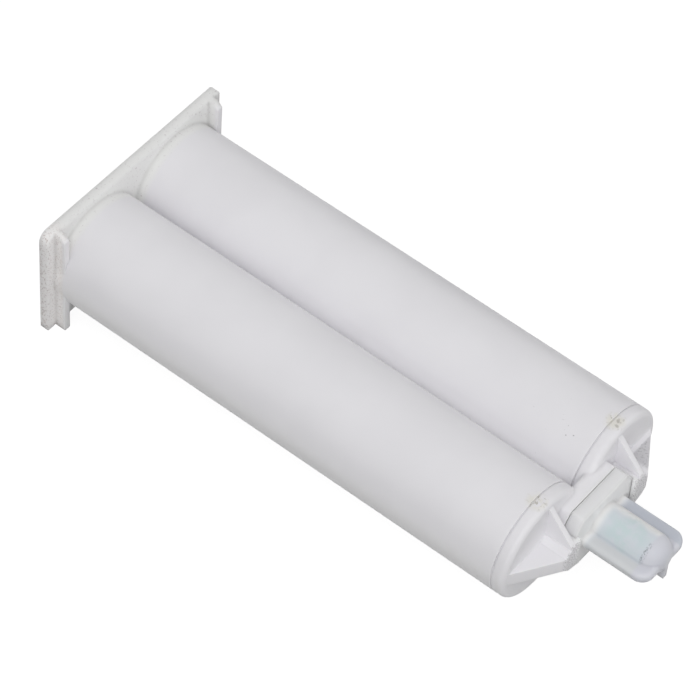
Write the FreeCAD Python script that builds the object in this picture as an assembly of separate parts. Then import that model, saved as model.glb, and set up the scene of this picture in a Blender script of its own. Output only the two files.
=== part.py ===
import FreeCAD, Part
import math
import os

# Epoxy dual cartridge: two barrels moulded side by side, a piston in each, and a twist-off nose cap.
# Millimetres. +X runs along the barrels from the flange to the nose, +Y across them and +Z up.
# The origin is the middle of the flange's rear face.

V = FreeCAD.Vector
X_AXIS = V(1, 0, 0)
ORIGIN = V(0, 0, 0)
SAME = 1e-6                   # lengths closer than this count as equal

# Barrels
bore_r = 9.6
barrel_wall = 1.4
bore_divider = 2.6            # plastic left between the two bores
bore_length = 100.0           # from the flange's rear face to the end wall
end_wall = 2.1
bore_lead_in = 0.8            # chamfer that guides a piston into the bore

# Shoulder at the nose end of each barrel
shoulder_length = 2.35
shoulder_edge_r = 1.1
groove_width = 0.35
groove_depth = 0.3

# Flange that locks into the dispensing gun
flange_width = 47.0
flange_height = 25.2
flange_thickness = 2.1
flange_corner_r = 2.2         # upper corner on the -Y side
flange_key_corner_r = 0.8     # the tighter upper corner on the +Y side
flange_edge_r = 0.3
flange_rib_inset = 2.0
flange_rib_width = 1.3
flange_rib_height = 2.15
flange_rib_slope = 1.2        # chamfer at the upper end of each rib

# Outlet between the barrels
outlet_r = 8.85
outlet_half_height = 6.3      # the outlet and the cap's foot are both cut flat here
outlet_length = 1.9
outlet_corner_r = 0.5
bridge_length = 1.1
bridge_half_width = 4.0
socket_r = 5.45
socket_depth = 2.0
port_inner_r = 3.0
port_outer_r = 5.1
port_half_angle = 35.0
port_overlap = 0.5            # how far the port's cutter runs into the bore and the socket

# Web and gussets that stiffen the outlet
nose_length = 5.6             # from the end walls to the brackets' front faces
web_thickness = 3.1
web_outer_y = 20.55
gusset_outer_y = 10.4
gusset_thickness = 1.0
gusset_rise = 9.8
gusset_front_rise = 3.2       # where its sloping edge ends, on top of the bracket
gusset_drop = 8.0

# Bayonet brackets that hold the cap's foot
bracket_inner_gap = 0.1
bracket_outer_y = 11.7
bracket_half_height = 3.55
bracket_shoulder_y = 10.7
bracket_shoulder_z = 2.6
lip_thickness = 0.8
lip_reach_y = 7.9
lip_gap = 0.1

# Nose cap
foot_gap = 0.15               # the open line between the outlet and the cap's foot
foot_corner_r = 0.5
plug_fit = 0.05
grip_length = 13.65           # from the foot's front face to the end of the boss and keel
boss_r = 3.8
boss_dome_r = 3.3             # rounding of the boss's front end
keel_thickness = 1.0          # upright rib under the boss
keel_depth = 4.1              # from the cap's axis to the keel's lower edge
wing_setback = 0.15           # how far the wings stop behind the end of the boss
wing_half_width = 6.3
wing_thickness = 2.0
wing_corner_r = 2.5
wing_edge_r = 0.7
core_r = 2.5
core_end_wall = 3.1

# Pistons
piston_fit = 0.03
piston_setback = 2.6          # how deep a piston sits behind the flange's rear face
piston_length = 9.5
piston_wall = 1.6
piston_floor = 2.4
lip_band = 1.5                # length of each sealing lip
waist_depth = 0.5             # how far the waist between the lips is cut back
piston_chamfer = 0.6

# Worked out from the values above
barrel_r = bore_r + barrel_wall
barrel_y = bore_r + bore_divider / 2
end_x = bore_length + end_wall
outlet_x = end_x + outlet_length
nose_x = end_x + nose_length
foot_back_x = outlet_x + foot_gap
foot_front_x = nose_x - lip_thickness - lip_gap
grip_end_x = foot_front_x + grip_length
socket_x = outlet_x - socket_depth


def rod(radius, x_start, x_end, y=0.0):
    return Part.makeCylinder(radius, x_end - x_start, V(x_start, y, 0), X_AXIS)


def turned(points, y=0.0):
    """Solid turned about the line along X at the given y, from (x, radius) points."""
    corners = [V(x, y + r, 0) for x, r in points]
    wire = Part.makePolygon(corners + [corners[0]])
    return Part.Face(wire).revolve(V(0, y, 0), X_AXIS, 360)


def block(x_start, x_end, y_start, y_end, z_start, z_end):
    size = (x_end - x_start, y_end - y_start, z_end - z_start)
    return Part.makeBox(*size, V(x_start, y_start, z_start))


def prism(points, direction):
    wire = Part.makePolygon(points + [points[0]])
    return Part.Face(wire).extrude(direction)


def edges_where(shape, test):
    return [edge for edge in shape.Edges if test(edge)]


def along(edge, axis):
    """True for a straight edge that runs along the given axis, 0 for X, 1 for Y, 2 for Z."""
    if not isinstance(edge.Curve, Part.Line):
        return False
    return abs(abs(edge.Curve.Direction[axis]) - 1) < SAME


def both_sides(shape):
    """The shape and its mirror image across the plane between the barrels."""
    return [shape, shape.mirror(ORIGIN, V(0, 1, 0))]


def flat_disc(radius, half_height, x_start, x_end, corner_r):
    """Round disc on the X axis, cut flat above and below, with its long corners rounded."""
    disc = rod(radius, x_start, x_end)
    disc = disc.common(block(x_start, x_end, -radius, radius, -half_height, half_height))
    return disc.makeFillet(corner_r, edges_where(disc, lambda edge: along(edge, 0)))


def barrel_skin(y):
    """One barrel's outside: a plain tube, a fine groove and the round-edged shoulder."""
    groove_end = end_x - shoulder_length
    groove_start = groove_end - groove_width
    tube = rod(barrel_r, 0, groove_start, y)
    neck = rod(barrel_r - groove_depth, groove_start, groove_end, y)
    shoulder = rod(barrel_r, groove_end, end_x, y)
    front = edges_where(shoulder, lambda edge: abs(edge.BoundBox.XMin - end_x) < SAME)
    shoulder = shoulder.makeFillet(shoulder_edge_r, front)
    return tube.fuse([neck, shoulder])


def flange():
    w = flange_width / 2
    h = flange_height / 2
    plate = block(0, flange_thickness, -w, w, -h, h)
    for side, radius in ((-1, flange_corner_r), (1, flange_key_corner_r)):
        corner = edges_where(
            plate, lambda edge: along(edge, 0) and edge.BoundBox.ZMin > 0 and side * edge.BoundBox.YMin > 0
        )
        plate = plate.makeFillet(radius, corner)
    faces = (0, flange_thickness)
    rims = edges_where(plate, lambda edge: edge.BoundBox.XLength < SAME and edge.BoundBox.XMin in faces)
    plate = plate.makeFillet(flange_edge_r, rims)
    outer = w - flange_rib_inset
    top = flange_thickness + flange_rib_height
    rib = prism(
        [
            V(flange_thickness / 2, outer - flange_rib_width, -h),
            V(top, outer - flange_rib_width, -h),
            V(top, outer - flange_rib_width, h - flange_rib_slope),
            V(top - flange_rib_slope, outer - flange_rib_width, h),
            V(flange_thickness / 2, outer - flange_rib_width, h),
        ],
        V(0, flange_rib_width, 0),
    )
    return plate.fuse(both_sides(rib))


def outlet():
    """Block between and in front of the barrels that the cap's foot turns against."""
    start = end_x - end_wall / 2
    face = flat_disc(outlet_r, outlet_half_height, start, outlet_x, outlet_corner_r)
    y = bridge_half_width
    bridge = block(end_x - bridge_length, end_x, -y, y, -outlet_half_height, outlet_half_height)
    return face.fuse(bridge)


def web():
    """Level plate across the nose, narrower towards the front."""
    start = end_x - end_wall / 2
    z = -web_thickness / 2
    outline = [
        V(start, 0, z),
        V(start, web_outer_y, z),
        V(end_x, web_outer_y, z),
        V(nose_x, bracket_outer_y, z),
        V(nose_x, lip_reach_y, z),
        V(outlet_x, lip_reach_y, z),
        V(outlet_x, 0, z),
    ]
    return both_sides(prism(outline, V(0, 0, web_thickness)))


def gussets():
    """Upright triangular rib in front of each barrel, taller above the web than below it."""
    start = end_x - end_wall / 2
    y = gusset_outer_y - gusset_thickness
    outline = [
        V(start, y, -gusset_drop),
        V(end_x, y, -gusset_drop),
        V(nose_x, y, -web_thickness / 2),
        V(nose_x, y, gusset_front_rise),
        V(end_x, y, gusset_rise),
        V(start, y, gusset_rise),
    ]
    return both_sides(prism(outline, V(0, gusset_thickness, 0)))


def brackets():
    """Bayonet hooks, one each side of the outlet, with a lip in front of the cap's foot."""
    start = end_x - end_wall / 2
    section = [
        V(start, lip_reach_y, -bracket_half_height),
        V(start, bracket_shoulder_y, -bracket_shoulder_z),
        V(start, bracket_outer_y, -web_thickness / 2),
        V(start, bracket_outer_y, web_thickness / 2),
        V(start, bracket_shoulder_y, bracket_shoulder_z),
        V(start, lip_reach_y, bracket_half_height),
    ]
    return both_sides(prism(section, V(nose_x - start, 0, 0)))


def port(side):
    """Curved passage from one bore into the socket."""
    start = bore_length - port_overlap
    end = socket_x + port_overlap
    ring = rod(port_outer_r, start, end).cut(rod(port_inner_r, start, end))
    reach = side * port_outer_r * 2
    rise = abs(reach) * math.tan(math.radians(port_half_angle))
    wedge = prism([V(start, 0, 0), V(start, reach, -rise), V(start, reach, rise)], V(end - start, 0, 0))
    return ring.common(wedge)


def make_body():
    solids = [flange(), outlet()] + web() + gussets() + brackets()
    solids += [barrel_skin(side * barrel_y) for side in (-1, 1)]
    body = solids[0].fuse(solids[1:])
    cuts = []
    for side in (-1, 1):
        y = side * barrel_y
        cuts.append(rod(bore_r, 0, bore_length, y))
        cuts.append(turned([(0, 0), (0, bore_r + bore_lead_in), (bore_lead_in, bore_r), (bore_lead_in, 0)], y))
        cuts.append(port(side))
    cuts.append(rod(socket_r, socket_x, outlet_x))
    cuts.append(rod(outlet_r + bracket_inner_gap, outlet_x, nose_x - lip_thickness))
    return body.cut(cuts).removeSplitter()


def make_cap():
    foot = flat_disc(outlet_r, outlet_half_height, foot_back_x, foot_front_x, foot_corner_r)
    plug = rod(socket_r - plug_fit, socket_x, foot_front_x)
    boss = rod(boss_r, foot_back_x, grip_end_x)
    tip = edges_where(boss, lambda edge: abs(edge.BoundBox.XMin - grip_end_x) < SAME)
    boss = boss.makeFillet(boss_dome_r, tip)
    half_keel = keel_thickness / 2
    keel = block(foot_back_x, grip_end_x, -half_keel, half_keel, -keel_depth, 0)
    wing_end_x = grip_end_x - wing_setback
    half_wing = wing_thickness / 2
    wings = block(foot_back_x, wing_end_x, -wing_half_width, wing_half_width, -half_wing, half_wing)
    corners = edges_where(wings, lambda edge: along(edge, 2) and edge.BoundBox.XMin > foot_front_x)
    wings = wings.makeFillet(wing_corner_r, corners)
    sides = edges_where(wings, lambda edge: not along(edge, 2) and edge.BoundBox.XMax > foot_front_x)
    wings = wings.makeFillet(wing_edge_r, sides)
    cap = foot.fuse([plug, boss, keel, wings]).removeSplitter()
    core = rod(core_r, socket_x, grip_end_x - core_end_wall)
    return cap.cut(core)


def make_piston(y):
    back = piston_setback
    front = back + piston_length
    r = bore_r - piston_fit
    waist = r - waist_depth
    outline = [
        (back, 0),
        (back, r - piston_chamfer),
        (back + piston_chamfer, r),
        (back + lip_band, r),
        (back + lip_band + waist_depth, waist),
        (front - lip_band - waist_depth, waist),
        (front - lip_band, r),
        (front - piston_chamfer, r),
        (front, r - piston_chamfer),
        (front, 0),
    ]
    cup = rod(waist - piston_wall, back, front - piston_floor, y)
    return turned(outline, y).cut(cup)


def main():
    nodes = {
        "cartridge_body": make_body(),
        "nose_cap": make_cap(),
        "piston_a": make_piston(-barrel_y),
        "piston_b": make_piston(barrel_y),
    }
    os.makedirs("parts", exist_ok=True)
    for name, shape in nodes.items():
        shape.exportStep("parts/" + name + ".step")
        box = shape.BoundBox
        print(name, shape.isValid(), len(shape.Solids), round(shape.Volume, 1),
              [round(v, 2) for v in (box.XMin, box.XMax, box.YMin, box.YMax, box.ZMin, box.ZMax)])


main()
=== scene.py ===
import math

import bpy
from mathutils import Matrix, Vector


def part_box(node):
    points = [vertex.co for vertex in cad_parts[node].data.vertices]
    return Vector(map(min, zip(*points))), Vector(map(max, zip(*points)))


# An epoxy dual cartridge lying on a white floor. Every shape comes from the frame, so this script
# gives the pieces their plastics and sets up the floor, the light and the camera.

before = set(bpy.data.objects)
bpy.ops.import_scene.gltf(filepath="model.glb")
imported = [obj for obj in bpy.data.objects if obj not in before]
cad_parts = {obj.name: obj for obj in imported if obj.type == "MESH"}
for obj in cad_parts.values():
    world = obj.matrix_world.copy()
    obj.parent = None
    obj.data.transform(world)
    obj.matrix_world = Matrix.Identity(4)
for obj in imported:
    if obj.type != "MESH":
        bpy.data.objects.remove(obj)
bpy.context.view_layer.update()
body_low, body_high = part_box("cartridge_body")
cap_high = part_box("nose_cap")[1]

MM = 0.001

# Camera
CAMERA_AZIMUTH = 34.796
CAMERA_ELEVATION = 51.616
CAMERA_ROLL = 4.926
CAMERA_DISTANCE = 0.6515
CAMERA_LENS = 191.06
CAMERA_AIM = Vector((0.05137, 0.00049, 0.0))
CLIP_START = 0.01
CLIP_END = 10.0

# Floor, which passes just under the flange's lower edge and the barrels' shoulders at the nose
FLANGE_FOOT_Z = body_low.z
SHOULDER_FOOT_Z = -11.0 * MM
FLOOR_SIZE = 3.0
FLOOR_DROP = 0.1 * MM
FLOOR_BOUNCE = 0.35                     # what the floor sends back to the cartridge
FLOOR_SHADOW = 0.2                      # how much of the cartridge's shadow the camera sees
FLOOR_GLOW = 0.9                        # what makes the floor white to the camera

# Light
WORLD_LIGHT = 0.615
KEY_AZIMUTH = 45
KEY_ELEVATION = 45
KEY_DISTANCE = 1.2
KEY_SIZE = 1.0
KEY_POWER = 4.85

# Places on the cartridge body, which runs along +X from the flange to the nose
FLANGE_FRONT_X = 2.1 * MM
FLANGE_RIB_FRONT_X = 4.25 * MM
FLANGE_SIDE_Y = body_low.y
NOSE_X = body_high.x                    # front faces of the bayonet brackets
SHOULDER_X = NOSE_X - 7.7 * MM          # groove behind the shoulders at the barrels' nose ends
SHOULDER_EDGE_X = NOSE_X - 6.7 * MM     # where their straight part, which stands on the floor, ends
END_WALL_X = NOSE_X - 5.6 * MM
OUTLET_FRONT_X = NOSE_X - 3.7 * MM
GUSSET_INNER_Y = 9.4 * MM               # sides of the gusset ribs that face the outlet
BRACKET_OUTER_Y = 11.7 * MM

# Places on the cap, whose near side is -Y
FOOT_BACK_X = OUTLET_FRONT_X + 0.15 * MM
FOOT_FRONT_X = NOSE_X - 0.9 * MM
TIP_X = cap_high.x
BOSS_RADIUS = 3.8 * MM

# Marks, and one painted shadow, each a centre and the radius at which it has faded out
SMUDGES = (
    (Vector((SHOULDER_X, -11.2 * MM, 11.0 * MM)), 2.4 * MM),
    (Vector((SHOULDER_X, 11.0 * MM, 11.0 * MM)), 2.4 * MM),
)
SPECKS = (Vector((NOSE_X - 15.2 * MM, 4.5 * MM, 9.0 * MM)), 8.0 * MM)
# painted shadow of the grip's hollow core, seen through its -Y side
TEAL_PAINTED_CORE_SHADOW = (Vector((TIP_X - 7.95 * MM, -1.5 * MM, 3.0 * MM)), 5.5 * MM)
CORE_END = (Vector((TIP_X - 3.55 * MM, -2.9 * MM, 3.0 * MM)), 2.8 * MM)


def srgb(hex_colour):
    """Linear colour from an sRGB hex value."""
    def linear(value):
        return value / 12.92 if value <= 0.04045 else ((value + 0.055) / 1.055) ** 2.4
    return tuple(linear(int(hex_colour[i:i + 2], 16) / 255) for i in (1, 3, 5)) + (1.0,)


def grey(value):
    """Neutral colour of that linear value."""
    return (value, value, value, 1.0)


def add_node(tree, kind, inputs=None, **settings):
    """Adds a node. Each input, by name or number, is a value or the output socket that feeds it."""
    node = tree.nodes.new(kind)
    for name, value in settings.items():
        setattr(node, name, value)
    for name, value in (inputs or {}).items():
        if isinstance(value, bpy.types.NodeSocket):
            tree.links.new(value, node.inputs[name])
        else:
            node.inputs[name].default_value = value
    return node


def new_material(name):
    """Material with an empty node tree, and that tree."""
    material = bpy.data.materials.new(name)
    material.use_nodes = True
    material.node_tree.nodes.clear()
    return material, material.node_tree


class Plastic:
    """A plastic whose tone is built up in layers, each kept to a mask in Object coordinates."""

    def __init__(self, name, hex_colour):
        self.material, self.tree = new_material(name)
        self.tone = srgb(hex_colour)
        self.place = add_node(self.tree, "ShaderNodeTexCoord").outputs["Object"]
        axes = add_node(self.tree, "ShaderNodeSeparateXYZ", {"Vector": self.place}).outputs
        self.x, self.y, self.z = axes["X"], axes["Y"], axes["Z"]
        self.across = add_node(self.tree, "ShaderNodeMath", {0: self.y}, operation="ABSOLUTE").outputs[0]

    def mask(self, *parts):
        """Product of the parts. Each is a mask, a number, or a limit (value, start, end), which is
        0 where the value is at start and rises smoothly to 1 at end."""
        result = None
        for part in parts:
            if isinstance(part, tuple):
                value, start, end = part
                limit = add_node(self.tree, "ShaderNodeMapRange",
                                 {"Value": value, "From Min": start, "From Max": end},
                                 interpolation_type="SMOOTHSTEP")
                part = limit.outputs["Result"]
            if result is not None:
                both = add_node(self.tree, "ShaderNodeMath", {0: result, 1: part}, operation="MULTIPLY")
                part = both.outputs[0]
            result = part
        return result

    def patches(self, size, start, end):
        """Limit to irregular patches, of about the given size, where the noise has passed end."""
        noise = add_node(self.tree, "ShaderNodeTexNoise",
                         {"Vector": self.place, "Scale": 1 / size, "Detail": 2.0})
        return noise.outputs["Fac"], start, end

    def near(self, centre, radius):
        """Limit to a round place that fades out at the radius."""
        distance = add_node(self.tree, "ShaderNodeVectorMath", {0: self.place, 1: centre},
                            operation="DISTANCE")
        return distance.outputs["Value"], radius, radius / 3

    def tint(self, hex_colour, *parts):
        """Lays a colour over the tone, as far as the mask of the parts allows."""
        layers = {"Factor": self.mask(*parts), "A": self.tone, "B": srgb(hex_colour)}
        self.tone = add_node(self.tree, "ShaderNodeMix", layers, data_type="RGBA").outputs["Result"]

    def finish(self, surface):
        """Feeds the tone and the surface's own values to the shader, and returns the material."""
        shader = add_node(self.tree, "ShaderNodeBsdfPrincipled", {"Base Color": self.tone, **surface})
        add_node(self.tree, "ShaderNodeOutputMaterial", {"Surface": shader.outputs["BSDF"]})
        return self.material


def moulded_white_polypropylene():
    """Injection-moulded polypropylene: a satin white, faintly violet, that light enters a little
    way, so that its shadows stay soft. Painted light lightens its lower half, the valley between
    the barrels, the nose and the outlet's front face."""
    grain_size = 0.6 * MM               # finer in truth, drawn coarse enough to show
    grain_depth = 0.02 * MM
    flange_edge_radius = 2.0 * MM
    outlet_edge_radius = 1.5 * MM
    light_depth = 0.8 * MM
    body = Plastic("moulded_white_polypropylene", "#EAE9EC")
    x, z = body.x, body.z
    flange = body.mask((x, FLANGE_RIB_FRONT_X + 0.25 * MM, FLANGE_FRONT_X + 0.9 * MM))
    outlet = body.mask((x, SHOULDER_X, SHOULDER_X + 1.0 * MM),
                       (body.across, GUSSET_INNER_Y, GUSSET_INNER_Y - 1.5 * MM))
    valley_painted_light = body.mask((body.across, 1.6 * MM, 0.3 * MM), (z, 0, 2 * MM), (x, 10 * MM, 60 * MM))
    lower_half_painted_light = body.mask((z, 5 * MM, -1 * MM))
    nose = body.mask((x, SHOULDER_X + 1.0 * MM, SHOULDER_X + 2.4 * MM))
    outlet_face_painted_light = body.mask(outlet, (x, OUTLET_FRONT_X - 0.1 * MM, OUTLET_FRONT_X))

    body.tint("#EDECEF", body.patches(14 * MM, 0.3, 0.7))
    # painted light: the lower half is tinted lighter, as if more light reached the barrels' undersides
    body.tint("#F6F5F8", lower_half_painted_light)
    # painted light: lightens the crease between the barrels, where shade falls
    body.tint("#F5F4F7", valley_painted_light)
    # painted light: lightens the nose ahead of the shoulders' grooves
    body.tint("#F0EFF2", nose)
    # painted light: whitens the outlet's front face, so the gap beside the cap reads less dark
    body.tint("#FFFFFF", outlet_face_painted_light)
    soil_flange_and_paint_light(body, flange)
    soil_nose_and_paint_shade(body)

    flange_radius = body.mask(flange, flange_edge_radius)
    outlet_radius = body.mask(outlet, (x, OUTLET_FRONT_X, OUTLET_FRONT_X - 0.6 * MM), outlet_edge_radius)
    radius = add_node(body.tree, "ShaderNodeMath", {0: flange_radius, 1: outlet_radius}, operation="ADD")
    soft_edges = add_node(body.tree, "ShaderNodeBevel", {"Radius": radius.outputs[0]}, samples=6)
    grain = add_node(body.tree, "ShaderNodeTexNoise",
                     {"Vector": body.place, "Scale": 1 / grain_size, "Detail": 2.0})
    skin = add_node(body.tree, "ShaderNodeBump",
                    {"Strength": 0.06, "Distance": grain_depth, "Height": grain.outputs["Fac"],
                     "Normal": soft_edges.outputs["Normal"]})
    return body.finish({
        "Roughness": 0.5, "IOR": 1.49, "Normal": skin.outputs["Normal"],
        "Subsurface Weight": 0.8, "Subsurface Scale": light_depth, "Subsurface Radius": (1.0, 1.0, 1.0),
    })


def soil_flange_and_paint_light(body, flange):
    """Greys the flange, strews fine specks on it, whitens its lower part with painted light, and paints
    light on its -Y side, in a warmer tone, with warm grime specks strewn there.
    """
    side = body.mask(flange, (body.y, FLANGE_SIDE_Y + 5.5 * MM, FLANGE_SIDE_Y + 0.5 * MM))
    foot = body.mask(flange, (body.z, -1 * MM, -7 * MM))
    body.tint("#EEEEED", flange)
    # painted light: whitens the flange's lower part
    body.tint("#FFFFFD", foot)
    body.tint("#D6D2D3", flange, body.patches(0.45 * MM, 0.6, 0.74))
    # partly painted light, partly tone: the -Y side is tinted lighter and warmer; the specks after it are
    # warm grime
    body.tint("#FFFAF8", side)
    body.tint("#D2C8C5", side, body.patches(0.3 * MM, 0.54, 0.68))


def soil_nose_and_paint_shade(body):
    """Smudges both shoulders, drops specks on the +Y barrel, paints shade on the +Y web, mottled darker,
    and speckles the brackets' front faces darker.
    """
    for centre, radius in SMUDGES:
        smudge = body.mask(body.near(centre, radius))
        body.tint("#E7E5DF", smudge, body.patches(1.5 * MM, 0.3, 0.6))
        body.tint("#C4C1BB", smudge, body.patches(0.7 * MM, 0.54, 0.66))
    web = body.mask((body.x, END_WALL_X + 0.7 * MM, END_WALL_X + 1.1 * MM),
                    (body.y, BRACKET_OUTER_Y + 0.7 * MM, BRACKET_OUTER_Y + 1.7 * MM))
    bracket_faces = body.mask((body.x, NOSE_X - 0.4 * MM, NOSE_X - 0.1 * MM))
    body.tint("#98969A", body.near(*SPECKS), body.patches(0.4 * MM, 0.735, 0.77))
    # painted shade: darkens the +Y web behind its gusset, where shade falls, and mottles it darker
    body.tint("#D2D1D4", web)
    body.tint("#B9B8BB", web, body.patches(0.4 * MM, 0.5, 0.7))
    # speckles the brackets' front faces darker
    body.tint("#CDCBCD", bracket_faces, body.patches(0.3 * MM, 0.45, 0.6))


def moulded_natural_polyethylene():
    """Undyed moulded polyethylene: milky and satin, white at the thick foot, bluer and darker where
    the grip is hollow. Painted light whitens the foot's front and back faces and the grip's +Y half;
    painted shade greys the thin wings, the +Y one most, and lays the core's shadow in teal on the grip's
    -Y side."""
    edge_radius = 1.3 * MM
    light_depth = 1.5 * MM
    core_centre, core_radius = CORE_END
    cap = Plastic("moulded_natural_polyethylene", "#EDEDEE")
    x, y = cap.x, cap.y
    foot_front_painted_light = cap.mask((x, FOOT_FRONT_X - 0.3 * MM, FOOT_FRONT_X))
    foot_back_painted_light = cap.mask((x, FOOT_BACK_X + 0.1 * MM, FOOT_BACK_X))
    grip = cap.mask((x, FOOT_FRONT_X + 0.2 * MM, FOOT_FRONT_X + 2.0 * MM))
    far_half_painted_light = cap.mask(grip, (y, 0.3 * MM, 2.0 * MM))
    near_wing_painted_shade = cap.mask(grip, (y, 0.3 * MM - BOSS_RADIUS, -0.8 * MM - BOSS_RADIUS))
    far_wing_painted_shade = cap.mask(grip, (y, BOSS_RADIUS - 0.3 * MM, BOSS_RADIUS + 0.2 * MM))
    solid_tip = cap.mask((x, core_centre.x, core_centre.x + 0.8 * MM))
    core_edge = cap.mask((x, core_centre.x - 0.1 * MM, core_centre.x + 0.1 * MM),
                         (x, core_centre.x + 0.9 * MM, core_centre.x + 0.5 * MM),
                         cap.near(core_centre, core_radius))

    # painted light: whitens the foot's front face, and its back face at the gap
    cap.tint("#FFFFFF", foot_front_painted_light)
    cap.tint("#FFFFFF", foot_back_painted_light)
    cap.tint("#DCE2E8", grip)
    # painted light: whitens the grip's +Y half, where light comes through the plastic
    cap.tint("#FBFCFD", far_half_painted_light)
    # painted shadow: the core's shadow, in teal patches
    cap.tint("#D3E1E3", cap.near(*TEAL_PAINTED_CORE_SHADOW), cap.patches(2.2 * MM, 0.35, 0.65))
    # painted shade: greys the -Y wing, thin enough to let the shade under it show
    cap.tint("#DADCDE", near_wing_painted_shade)
    cap.tint("#DBDCE3", solid_tip)
    # painted shade: greys the +Y wing, which the boss shadows
    cap.tint("#CACED7", far_wing_painted_shade)
    cap.tint("#A3A8AF", core_edge, cap.patches(0.3 * MM, 0.42, 0.62))

    radius = cap.mask((x, FOOT_FRONT_X - 1.8 * MM, FOOT_FRONT_X - 1.0 * MM), edge_radius)
    soft_edges = add_node(cap.tree, "ShaderNodeBevel", {"Radius": radius}, samples=6)
    return cap.finish({
        "Roughness": 0.4, "IOR": 1.51, "Transmission Weight": 0.04, "Normal": soft_edges.outputs["Normal"],
        "Subsurface Weight": 1.0, "Subsurface Scale": light_depth, "Subsurface Radius": (1.0, 1.0, 1.0),
    })


def moulded_piston_polyethylene():
    """Moulded polyethylene of the pistons: waxier than the cartridge, and a slightly warmer white."""
    piston = Plastic("moulded_piston_polyethylene", "#DEDDD8")
    piston.tint("#E6E5E0", piston.patches(5 * MM, 0.3, 0.7))
    return piston.finish({"Roughness": 0.38, "IOR": 1.51})


def shows_surroundings(tree):
    """1 for the rays that show the floor and world, straight on, in a gloss or through the part."""
    path = add_node(tree, "ShaderNodeLightPath").outputs
    direct = add_node(tree, "ShaderNodeMath", {0: path["Is Camera Ray"], 1: path["Is Glossy Ray"]},
                      operation="MAXIMUM")
    either = add_node(tree, "ShaderNodeMath", {0: direct.outputs[0], 1: path["Is Transmission Ray"]},
                      operation="MAXIMUM")
    return either.outputs[0]


def white_floor():
    """Floor that the camera sees as white, with the cartridge's shadow kept faintly."""
    material, tree = new_material("white_floor")
    bounce = add_node(tree, "ShaderNodeBsdfDiffuse", {"Color": grey(FLOOR_BOUNCE)})
    shadowed = add_node(tree, "ShaderNodeBsdfDiffuse", {"Color": grey(FLOOR_SHADOW)})
    glow = add_node(tree, "ShaderNodeEmission", {"Strength": FLOOR_GLOW})
    white = add_node(tree, "ShaderNodeAddShader", {0: shadowed.outputs[0], 1: glow.outputs[0]})
    mix = add_node(tree, "ShaderNodeMixShader",
                   {0: shows_surroundings(tree), 1: bounce.outputs[0], 2: white.outputs[0]})
    add_node(tree, "ShaderNodeOutputMaterial", {"Surface": mix.outputs[0]})
    return material


def lay_floor():
    """Lays the floor at the slope that the flange, taller than the barrels, lets the cartridge lie at."""
    half = FLOOR_SIZE / 2
    slope = (SHOULDER_FOOT_Z - FLANGE_FOOT_Z) / SHOULDER_EDGE_X
    corners = [(x, y, FLANGE_FOOT_Z - FLOOR_DROP + slope * x)
               for x, y in ((-half, -half), (half, -half), (half, half), (-half, half))]
    mesh = bpy.data.meshes.new("floor")
    mesh.from_pydata(corners, [], [(0, 1, 2, 3)])
    mesh.materials.append(white_floor())
    floor = bpy.data.objects.new("floor", mesh)
    bpy.context.collection.objects.link(floor)


def light_world():
    """Even light from all round, which the camera sees as plain white."""
    world = bpy.data.worlds.new("studio")
    world.use_nodes = True
    tree = world.node_tree
    tree.nodes.clear()
    dome = add_node(tree, "ShaderNodeBackground", {"Color": grey(1.0), "Strength": WORLD_LIGHT})
    white = add_node(tree, "ShaderNodeBackground", {"Color": grey(1.0), "Strength": 1.0})
    mix = add_node(tree, "ShaderNodeMixShader",
                   {0: shows_surroundings(tree), 1: dome.outputs[0], 2: white.outputs[0]})
    add_node(tree, "ShaderNodeOutputWorld", {"Surface": mix.outputs[0]})
    bpy.context.scene.world = world


def direction(azimuth, elevation):
    """Unit vector from the cartridge towards a place at that azimuth and elevation."""
    a, e = math.radians(azimuth), math.radians(elevation)
    return Vector((math.sin(a) * math.cos(e), -math.cos(a) * math.cos(e), math.sin(e)))


def hang_key_softbox():
    """Square area lamp aimed at the middle of the cartridge."""
    lamp = bpy.data.lights.new("key_softbox", "AREA")
    lamp.size = KEY_SIZE
    lamp.energy = KEY_POWER
    holder = bpy.data.objects.new("key_softbox", lamp)
    back = direction(KEY_AZIMUTH, KEY_ELEVATION)
    holder.location = CAMERA_AIM + back * KEY_DISTANCE
    holder.rotation_mode = "QUATERNION"
    holder.rotation_quaternion = back.to_track_quat("Z", "Y")
    bpy.context.collection.objects.link(holder)


def set_camera():
    """Camera that looks at its aim and is rolled about its own line of sight."""
    data = bpy.data.cameras.new("camera")
    data.lens = CAMERA_LENS
    data.clip_start = CLIP_START
    data.clip_end = CLIP_END
    camera = bpy.data.objects.new("camera", data)
    back = direction(CAMERA_AZIMUTH, CAMERA_ELEVATION)
    a, roll = math.radians(CAMERA_AZIMUTH), math.radians(CAMERA_ROLL)
    right = Vector((math.cos(a), math.sin(a), 0))
    up = back.cross(right)
    rolled_right = math.cos(roll) * right + math.sin(roll) * up
    rolled_up = math.cos(roll) * up - math.sin(roll) * right
    turn = Matrix((rolled_right, rolled_up, back)).transposed().to_4x4()
    camera.matrix_world = Matrix.Translation(CAMERA_AIM + back * CAMERA_DISTANCE) @ turn
    bpy.context.collection.objects.link(camera)
    bpy.context.scene.camera = camera


def dress(material, *nodes):
    """Puts the material on every slot of the nodes."""
    for node in nodes:
        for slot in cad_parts[node].material_slots:
            slot.material = material


set_camera()
lay_floor()
light_world()
hang_key_softbox()
dress(moulded_white_polypropylene(), "cartridge_body")
dress(moulded_natural_polyethylene(), "nose_cap")
dress(moulded_piston_polyethylene(), "piston_a", "piston_b")
bpy.context.scene.view_settings.view_transform = "Standard"
